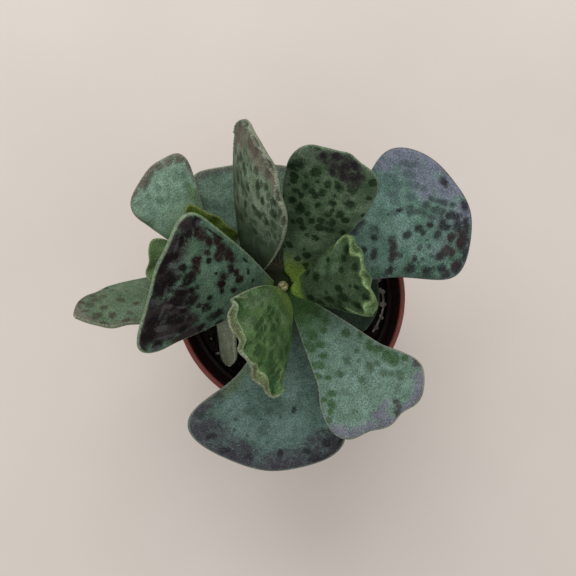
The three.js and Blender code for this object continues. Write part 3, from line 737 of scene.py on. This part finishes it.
def leaf_points(leaf, fields, face, extra):
    along, across, above = leaf_directions(leaf)
    height = fields["above"] + face * fields["depth"] + extra
    return (np.array(leaf["base"]) + fields["along"][..., None] * along
            + fields["across"][..., None] * across + height[..., None] * above)


def leaf_faces(count):
    row = count + 1
    top = np.arange(row * row).reshape(row, row)
    bottom = top + row * row
    for edge in (np.s_[0, :], np.s_[-1, :], np.s_[:, 0], np.s_[:, -1]):
        bottom[edge] = top[edge]
    corners = lambda sheet: (sheet[:-1, :-1], sheet[1:, :-1], sheet[1:, 1:], sheet[:-1, 1:])
    upper = np.stack(corners(top)[::-1], -1).reshape(-1, 4)
    lower = np.stack(corners(bottom), -1).reshape(-1, 4)
    return np.concatenate([upper, lower]).tolist()


def patches_of(fields, leaf, patches):
    """How far inside the nearest of some patches each point is: 1 at a centre, 0 at an edge."""
    inside = np.full_like(fields["u"], -1)
    half = leaf["width"] / 2 * spread_at(fields["u"], leaf) / widest_spread(leaf)
    for place_along, place_across, *reach in patches:
        along = (fields["u"] - place_along / 100) * leaf["length"] / reach[0]
        across = (fields["a"] - place_across / 100) * half / reach[-1]
        inside = np.maximum(inside, 1 - np.hypot(along, across))
    return inside


def paint_leaf(fields, leaf, look, crest, pocket):
    """Where each layer of colour lies on the upper face, worked out at every grid point."""
    u, a = fields["u"], fields["a"]
    left, right = np.clip(a, 0, 1), np.clip(-a, 0, 1)
    cover = (look["cover"] + look["cover_tip"] * smooth(u, 0.3, 0.9)
             + look["cover_left"] * left ** 1.5 + look["cover_right"] * right ** 1.5)
    layers = {
        "to_margin": fields["to_margin"],
        "stem_end_tint_and_shade": 1 - smooth(u, 0.3 * look["base_reach"], look["base_reach"]),
        "margin": smooth(-fields["to_margin"], -look["margin_reach"], 0) * fields["end"],
        "cover": cover * smooth(u, 0.08, 0.2),
        "crest": crest,
        "pocket": pocket,
    }
    for number, (_, _, *patches) in enumerate(look["dabs"]):
        layers[f"dab_{number}"] = patches_of(fields, leaf, patches)
    return layers


def underside(layers):
    """The lower face is plainer: fewer and smaller spots and patches."""
    plainer = dict(layers)
    for name, values in layers.items():
        if name.startswith("dab"):
            plainer[name] = values - UNDERSIDE_FADE
        if name in ("cover", "margin"):
            plainer[name] = values * (1 - UNDERSIDE_FADE)
    return plainer


def set_attribute(mesh, name, values):
    kind = "FLOAT_VECTOR" if values.ndim == 2 else "FLOAT"
    layer = mesh.attributes.new(name, kind, "POINT")
    layer.data.foreach_set("vector" if kind == "FLOAT_VECTOR" else "value", values.astype(np.float32).ravel())


def leaf_piece(name, entry, number):
    leaf = {**LEAF, **entry}
    look = {**LOOK, **LOOKS[name], "dabs": DABS.get(name, ())}
    fields = leaf_fields(leaf)
    crest, pocket = crest_of(fields, look)
    swell = swell_of(fields, number)
    top = leaf_points(leaf, fields, TOP_SHARE, swell + CREST_RISE * crest - POCKET_DROP * pocket)
    bottom = leaf_points(leaf, fields, -BOTTOM_SHARE, -UNDERSIDE_SWELL * swell)
    points = np.concatenate([top.reshape(-1, 3), bottom.reshape(-1, 3)])
    mesh = mesh_of(name + "_skin", points, leaf_faces(leaf["grid"]))
    flat = np.stack([fields["across"], fields["along"], 0 * fields["u"]], -1).reshape(-1, 3)
    flat += number * np.array(NOISE_STEP)
    set_attribute(mesh, "flat", np.concatenate([flat, flat + np.array(UNDERSIDE_STEP)]))
    layers = paint_leaf(fields, leaf, look, crest, pocket)
    below = underside(layers)
    for key, values in layers.items():
        set_attribute(mesh, key, np.concatenate([values.ravel(), below[key].ravel()]))
    drop_loose_points(mesh)
    slot = "young_leaf" if "young" in name else "leaf"
    piece = link_piece(name + "_skin", mesh, leaf_material(name, look))
    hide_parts(name)


def drop_loose_points(mesh):
    work = bmesh.new()
    work.from_mesh(mesh)
    bmesh.ops.delete(work, geom=[vert for vert in work.verts if not vert.link_faces], context="VERTS")
    bmesh.ops.recalc_face_normals(work, faces=work.faces)
    work.to_mesh(mesh)
    work.free()


# Pot

def body_radius(z):
    top = RIM_RADIUS - COLLAR_STEP
    return BASE_RADIUS + (top - BASE_RADIUS) * z / POT_HEIGHT


def inner_radius(z):
    return body_radius(z) - WALL


def rounded(points, radius, steps=4):
    """An open outline with each inner corner rounded off by a curve of about this radius."""
    result = [Vector(points[0])]
    for before, corner, after in zip(points, points[1:], points[2:]):
        corner = Vector(corner)
        to_before = Vector(before) - corner
        to_after = Vector(after) - corner
        cut = min(radius, to_before.length / 2, to_after.length / 2)
        start = corner + to_before.normalized() * cut
        end = corner + to_after.normalized() * cut
        for step in range(steps + 1):
            share = step / steps
            result.append(start.lerp(corner, share).lerp(corner.lerp(end, share), share))
    result.append(Vector(points[-1]))
    return result


def circle(radius, count):
    """Evenly spaced points round the axis."""
    angles = [2 * math.pi * index / count for index in range(count)]
    return [(radius * math.cos(angle), radius * math.sin(angle)) for angle in angles]


def closed_body(start, rings, end):
    """The points and faces of a closed body, from a pole over rings of points to the other pole."""
    sides = len(rings[0])
    points = [start] + [point for ring in rings for point in ring] + [end]
    at = lambda ring, side: 1 + ring * sides + side % sides
    faces = []
    for side in range(sides):
        faces.append((0, at(0, side + 1), at(0, side)))
        for ring in range(len(rings) - 1):
            faces.append((at(ring, side), at(ring, side + 1), at(ring + 1, side + 1), at(ring + 1, side)))
        faces.append((len(points) - 1, at(len(rings) - 1, side), at(len(rings) - 1, side + 1)))
    return points, faces


def lathe(profile, sides):
    """A closed body of revolution from an outline that starts and ends on the axis."""
    rings = [[(x, y, z) for x, y in circle(radius, sides)] for radius, z in profile if radius > 1e-6]
    return closed_body((0, 0, profile[0][1]), rings, (0, 0, profile[-1][1]))


def pot_outline():
    collar = POT_HEIGHT - COLLAR_HEIGHT
    outer = body_radius(collar) + COLLAR_STEP
    return rounded([
        (0, 0), (BASE_RADIUS, 0), (body_radius(collar), collar), (outer, collar + COLLAR_SLOPE),
        (RIM_RADIUS, POT_HEIGHT - LIP_DROP), (RIM_RADIUS - LIP_BEVEL, POT_HEIGHT),
        (RIM_RADIUS - WALL, POT_HEIGHT), (outer - WALL, collar + COLLAR_SLOPE),
        (inner_radius(collar), collar), (inner_radius(WALL), WALL), (0, WALL),
    ], CORNER_RADIUS)


def drill_drains(pot):
    for x, y in circle(DRAIN_CIRCLE, DRAIN_COUNT):
        bpy.ops.mesh.primitive_cylinder_add(
            vertices=DRAIN_SIDES, radius=DRAIN_RADIUS * MM, depth=4 * WALL * MM,
            location=Vector((x, y, 0)) * MM)
        drill = bpy.context.object
        cut = pot.modifiers.new("drain", "BOOLEAN")
        cut.object = drill
        cut.operation = "DIFFERENCE"
        bpy.context.view_layer.objects.active = pot
        bpy.ops.object.modifier_apply(modifier=cut.name)
        bpy.data.objects.remove(drill)


def inner_wall_shade(place, height):
    """1 on the inner face of the pot, which is painted dark as shade, and 0 elsewhere."""
    flat = vector_maths("MULTIPLY", {0: place, 1: (1, 1, 0)})
    radius = vector_maths("LENGTH", {0: flat}, "Value")
    collar = POT_HEIGHT - COLLAR_HEIGHT
    foot = body_radius(collar) + COLLAR_STEP
    slope = (RIM_RADIUS - foot) / COLLAR_HEIGHT
    skin_at_foot = foot - WALL + INSIDE_SKIN - slope * collar
    skin = maths("MULTIPLY_ADD", height, slope, skin_at_foot * MM)
    within = ease(maths("SUBTRACT", skin, radius), 0, INSIDE_SKIN * MM / 2)
    above = ease(height, 2 * WALL * MM, 3 * WALL * MM)
    below = ease(height, *((POT_HEIGHT - depth) * MM for depth in INSIDE_FADE))
    return maths("MULTIPLY", within, maths("MULTIPLY", above, below))


def pot_material():
    """Red-brown moulded plastic, dusty, scratched, paler at the lip, with painted shade on its inner wall."""
    material, place = body_material("pot_plastic")
    height = add_node("ShaderNodeSeparateXYZ", {0: place}).outputs["Z"]
    colour = blend(ease(grain(place, 0.012, 4), 0.35, 0.7), (126, 57, 48), (102, 43, 37))
    lip = ease(height, (POT_HEIGHT - LIP_WEAR) * MM, POT_HEIGHT * MM)
    worn = maths("MULTIPLY", lip, uneven(place, 0.004, 5, 0.3, 0.9))
    colour = blend(worn, colour, (120, 68, 62))
    scratches = grain(stretched(place, (1, 1, 0.06)), 0.0009, 3)
    colour = blend(ease(scratches, 0.62, 0.75, 0, 0.35), colour, (156, 96, 84))
    dust = ease(grain(place, 0.0025, 6, 0.65), 0.55, 0.75, 0, 0.5)
    colour = blend(dust, colour, (70, 38, 32))
    # Painted shade: the inner wall below the rim is coloured near black.
    colour = blend(inner_wall_shade(place, height), colour, (31, 18, 16))
    fine = bumped(grain(place, 0.0006, 3), 0.00003)
    normal = bumped(scratches, 0.00006, 1, fine)
    rough = uneven(place, 0.002, 5, 0.4, 0.65)
    return surface(material, Base_Color=colour, Roughness=rough, Normal=normal, Specular_IOR_Level=0.25)


def make_pot():
    pot = body_piece("pot_shell", lathe(pot_outline(), POT_SIDES), pot_material())
    drill_drains(pot)
    pot.data.shade_smooth()
    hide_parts("pot")


# Soil

def spiral(index, count, reach, start=0):
    """The place of one of many points that are spread evenly out to reach."""
    radius = reach * math.sqrt((index + 0.5) / count)
    angle = index * GOLDEN_ANGLE + start
    return radius * math.cos(angle), radius * math.sin(angle)


def soil_height(x, y):
    swell = 2 * math.pi / SWELL_PERIOD
    height = SWELL_HEIGHT * math.sin(swell * x + 1) * math.cos(swell * y)
    for index in range(LUMP_COUNT):
        lump_x, lump_y = spiral(index, LUMP_COUNT, inner_radius(SOIL_LEVEL))
        distance = math.hypot(x - lump_x, y - lump_y)
        size = 0.6 + 0.4 * math.sin(5 * index)
        height += LUMP_HEIGHT * size * math.exp(-((distance / LUMP_RADIUS) ** 2))
    return SOIL_LEVEL - LUMP_HEIGHT / 3 + height


def rough_soil_height(x, y):
    crumbly = noise.fractal(Vector((x, y, 0)) * CRUMBLE_PACE, 0.6, 2, 5)
    return soil_height(x, y) + CRUMBLE_HEIGHT * crumbly


def soil_body(sectors=150, steps=64):
    foot = WALL + GAP
    wall = inner_radius(SOIL_LEVEL - 1) - GAP
    rings = [[(x, y, foot) for x, y in circle(inner_radius(foot) - GAP, sectors)]]
    for step in range(steps, 0, -1):
        rings.append([(x, y, rough_soil_height(x, y)) for x, y in circle(wall * step / steps, sectors)])
    return closed_body((0, 0, foot), rings, (0, 0, rough_soil_height(0, 0)))


def soil_material():
    """Moist dark peat with brown fibres and pale grit dust."""
    return grainy_material(
        "peat", ((16, 13, 11), (38, 30, 25)), clouds=(0.0022, 6, 0.7), rough=(0.003, 3, 0.75, 1),
        relief=(0.0007, 0.0012, 6, 0.75), shine=0.1,
        fleck=dict(colour=(122, 104, 86), grain=(0.0005, 2), between=(0.67, 0.75), strength=0.5))


def stone_material():
    """Pale grey grit, mottled and dusty."""
    return grainy_material(
        "grit_stone", ((150, 144, 134), (98, 90, 82)), clouds=(0.0015, 5), rough=(0.001, 3, 0.7, 0.95),
        relief=(0.00015, 0.0005, 5),
        fleck=dict(colour=(52, 46, 42), grain=(0.0004, 3), between=(0.6, 0.7), strength=0.7))


def ball(detail, moved):
    """A round body with each of its points moved: its points and faces."""
    work = bmesh.new()
    bmesh.ops.create_icosphere(work, subdivisions=detail, radius=1)
    points = [tuple(moved(vert.co)) for vert in work.verts]
    faces = [[vert.index for vert in face.verts] for face in work.faces]
    work.free()
    return points, faces


def pebble(centre, size, seed, detail=1):
    """A small uneven lump."""
    turn = Matrix.Rotation(seed * 2.4, 3, Vector((0.3, 0.5, 0.8)).normalized())
    squash = Vector((1, 0.65 + 0.3 * math.sin(seed) ** 2, 0.6 + 0.25 * math.cos(3 * seed) ** 2))

    def moved(point):
        bump = 1 + 0.3 * noise.noise(point * 1.7 + Vector((seed, 0, 0)))
        shaped = Vector(c * s for c, s in zip(point * bump, squash))
        return Vector(centre) + size * (turn @ shaped)

    return ball(detail, moved)


def joined(bodies):
    points, faces = [], []
    for body_points, body_faces in bodies:
        shift = len(points)
        points.extend(body_points)
        faces.extend([[shift + index for index in face] for face in body_faces])
    return points, faces


def scatter(count, reach, sizes, start):
    """Seeded lumps bedded in the soil, spread evenly out to reach."""
    small, large = sizes
    for index in range(count):
        x, y = spiral(index, count, reach, start)
        x += SCATTER_SHIFT * math.sin(7 * index)
        y += SCATTER_SHIFT * math.cos(5 * index)
        size = small + (large - small) * abs(math.sin(index * 1.7 + start)) ** 3
        if math.hypot(x, y) + size < reach:
            yield pebble((x, y, rough_soil_height(x, y) + CRUMB_RISE * size), size, index + start)


def make_soil():
    bed = body_piece("soil_bed", soil_body(), soil_material())
    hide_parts("soil")
    reach = inner_radius(SOIL_LEVEL) - WALL_CLEARANCE
    crumbs = joined(scatter(CRUMB_COUNT, reach, CRUMB_SIZES, CRUMB_START))
    body_piece("peat_crumbs", crumbs, soil_material())
    stones = [pebble((x, y, rough_soil_height(x, y) + STONE_RISE * size), size, x, 3) for x, y, size in GRIT]
    stones += list(scatter(SPECK_COUNT, reach, SPECK_SIZES, SPECK_START))
    body_piece("grit_stones", joined(stones), stone_material())


# Tubes: stems, rootlets and fibres

def tube(line, radii, sides):
    """A closed tube along a line of points, one radius to a point."""
    points = []
    side_way = Vector((0.31, 0.52, 0.8))
    for index, centre in enumerate(line):
        ahead = line[min(index + 1, len(line) - 1)] - line[max(index - 1, 0)]
        first = ahead.cross(side_way).normalized()
        second = ahead.cross(first).normalized()
        for x, y in circle(1, sides):
            points.append(tuple(centre + radii[index] * (x * first + y * second)))
    faces = [tuple(range(sides)), tuple(range(len(points) - 1, len(points) - sides - 1, -1))]
    for ring in range(len(line) - 1):
        for side in range(sides):
            here, there, after = ring * sides, (ring + 1) * sides, (side + 1) % sides
            faces.append((here + side, there + side, there + after, here + after))
    return points, faces


def stem_centre(stem, share):
    """A smooth line through the stem's three points."""
    low, middle, high = (Vector(point) for point in stem["line"])
    pull = middle + (middle - (low + high) / 2)
    return low.lerp(pull, share).lerp(pull.lerp(high, share), share)


def stem_radius(stem, share):
    slim = 1 + (stem["taper"] - 1) * float(smooth(share, TAPER_START, 1))
    dome = math.sqrt(max(0, 1 - max(0, (share - DOME_START) / (DOME_END - DOME_START)) ** 2))
    node_rings = 1 + STEM_BULGE * math.sin(STEM_BULGE_PACE * share)
    return stem["radius"] * slim * node_rings * dome


def stem_body(stem, sides=64, levels=90):
    points, faces = [], []
    for level in range(levels + 1):
        share = level / levels
        centre = stem_centre(stem, share)
        for x, y in circle(1, sides):
            way = Vector((x, y, 0))
            knobs = 1 + KNOB_HEIGHT * noise.fractal((centre + 3 * way) * KNOB_PACE, 0.7, 2, 4)
            points.append(tuple(centre + stem_radius(stem, share) * knobs * way))
    for level in range(levels):
        for side in range(sides):
            here, there, after = level * sides, (level + 1) * sides, (side + 1) % sides
            faces.append((here + side, here + after, there + after, there + side))
    faces.append(tuple(range(sides))[::-1])
    faces.append(tuple(levels * sides + side for side in range(sides)))
    return points, faces


def stem_material():
    """Grey-brown bark low down, turning dark green towards the tip, where the green is darkened as painted
    shade.
    """
    material, place = body_material("stem_bark")
    height = add_node("ShaderNodeSeparateXYZ", {0: place}).outputs["Z"]
    bark = clouded(place, ((66, 56, 41), (38, 32, 24)), 0.002, 5)
    # The green of the stem's top is darkened as painted shade, where it lies in the leaves' shadow.
    green = clouded(place, ((20, 28, 13), (30, 40, 17)), 0.003, 3)
    colour = blend(ease(height, 0.056, 0.067), bark, green)
    cracks = grain(stretched(place, (1, 1, 0.35)), 0.0009, 5, 0.7)
    colour = blend(ease(cracks, 0.4, 0.3, 0, 0.6), colour, (46, 36, 28))
    rough = ease(cracks, 0.3, 0.7, 0.85, 0.6)
    normal = bumped(cracks, 0.0003)
    return surface(material, Base_Color=colour, Roughness=rough, Normal=normal, Specular_IOR_Level=0.15)


def root_material():
    """Thin brown aerial roots."""
    return grainy_material(
        "rootlet", ((72, 56, 42), (46, 36, 28)), clouds=(0.002, 4), rough=(0.001, 3, 0.6, 0.9),
        relief=(0.0001, 0.0004, 3))


def bud_material():
    """The growing tip: pale yellow-green young tissue."""
    return grainy_material(
        "growing_tip", ((146, 142, 104), (100, 100, 58)), clouds=(0.0008, 4), rough=(0.001, 3, 0.5, 0.7),
        relief=(0.0001, 0.0003, 3))


def aerial_root(stem, index):
    """A short hair-like root that leaves the stem and droops."""
    low, high = stem["root_zone"]
    share = low + (high - low) * ((index * 0.618) % 1)
    centre = stem_centre(stem, share)
    angle = index * GOLDEN_ANGLE
    out = Vector((math.cos(angle), math.sin(angle), 0))
    shortest, longest = ROOT_LENGTHS
    length = shortest + (longest - shortest) * abs(math.sin(2.1 * index))
    start = centre + out * (stem_radius(stem, share) - ROOT_BEDDING)
    line = []
    for step in range(ROOT_STEPS + 1):
        droop = -ROOT_DROOP * length * (step / ROOT_STEPS) ** 2
        sway = Vector((ROOT_SWAY * math.sin(index + step), ROOT_SWAY * math.cos(index + step), droop))
        line.append(start + out * length * step / ROOT_STEPS + sway)
    return tube(line, [ROOT_RADIUS - ROOT_THINNING * step for step in range(ROOT_STEPS + 1)], 6)


def bud(stem, index):
    """One of the tiny crinkled leaves at a stem's growing tip."""
    turn = Matrix.Rotation(2 * math.pi * (index + 0.4) / BUD_COUNT, 3, "Z")
    centre = Vector(stem["line"][2]) + turn @ Vector((BUD_SPREAD, 0, 0))

    def moved(point):
        crinkle = 1 + BUD_CRINKLE * math.sin(5 * point.y + 2 * index) * max(point.z, 0)
        return centre + turn @ Vector(c * s * crinkle for c, s in zip(point, BUD_SIZE))

    return ball(4, moved)


def make_stems():
    bark = stem_material()
    for name, stem in STEMS.items():
        piece = body_piece(name + "_bark", stem_body(stem), bark)
        buds = joined(bud(stem, index) for index in range(BUD_COUNT))
        body_piece(name + "_tip", buds, bud_material())
        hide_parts(name)
    roots = [aerial_root(stem, index) for stem in STEMS.values() for index in range(stem["root_count"])]
    body_piece("aerial_roots", joined(roots), root_material())


def make_rootlet():
    """The loose root that curves over the soil on the east side."""
    line = [Vector((x, y, rough_soil_height(x, y) + ROOTLET_RISE)) for x, y in ROOTLET_LINE]
    fine = [line[0]]
    for start, end in zip(line, line[1:]):
        fine.extend(start.lerp(end, step / 4) for step in range(1, 5))
    root = tube(fine, [ROOTLET_RADIUS] * len(fine), 10)
    body_piece("soil_rootlet", root, stone_material())


# Setting

def floor_material():
    """A plain warm grey, faintly clouded."""
    material, place = body_material("floor")
    cloud = uneven(place, 0.08, 3, 0, 1)
    return surface(material, Base_Color=blend(cloud, (214, 205, 197), (209, 200, 191)), Roughness=0.9)


def make_floor():
    bpy.ops.mesh.primitive_plane_add(size=FLOOR_SIZE)
    floor = bpy.context.object
    floor.name = "floor"
    floor.data.materials.append(floor_material())


def make_light():
    """An even white sky and one large soft window."""
    world = bpy.data.worlds.new("studio")
    world.use_nodes = True
    sky = world.node_tree.nodes["Background"].inputs
    sky["Color"].default_value = (1, 1, 1, 1)
    sky["Strength"].default_value = SKY_STRENGTH
    bpy.context.scene.world = world
    lamp = bpy.data.lights.new("window", "AREA")
    lamp.energy = LIGHT_WATTS
    lamp.size = LIGHT_SIZE
    light = bpy.data.objects.new("window", lamp)
    light.location = Vector(LIGHT_PLACE)
    light.rotation_euler = (Vector(LIGHT_AIM) - light.location).to_track_quat("-Z", "Y").to_euler()
    bpy.context.scene.collection.objects.link(light)


def make_view():
    """Colours are shown as they are, with no film curve."""
    bpy.context.scene.view_settings.view_transform = "Standard"


def make_camera():
    lens = bpy.data.cameras.new("camera")
    lens.sensor_width = CAMERA_SENSOR
    lens.lens = CAMERA_LENS
    lens.clip_start = CAMERA_NEAREST
    camera = bpy.data.objects.new("camera", lens)
    camera.location = Vector(CAMERA_PLACE) * MM
    bpy.context.scene.collection.objects.link(camera)
    bpy.context.scene.camera = camera


make_view()
make_camera()
make_pot()
make_soil()
make_stems()
make_rootlet()
for number, (leaf_name, leaf_entry) in enumerate(LEAVES.items()):
    leaf_piece(leaf_name, leaf_entry, number)
make_floor()
make_light()
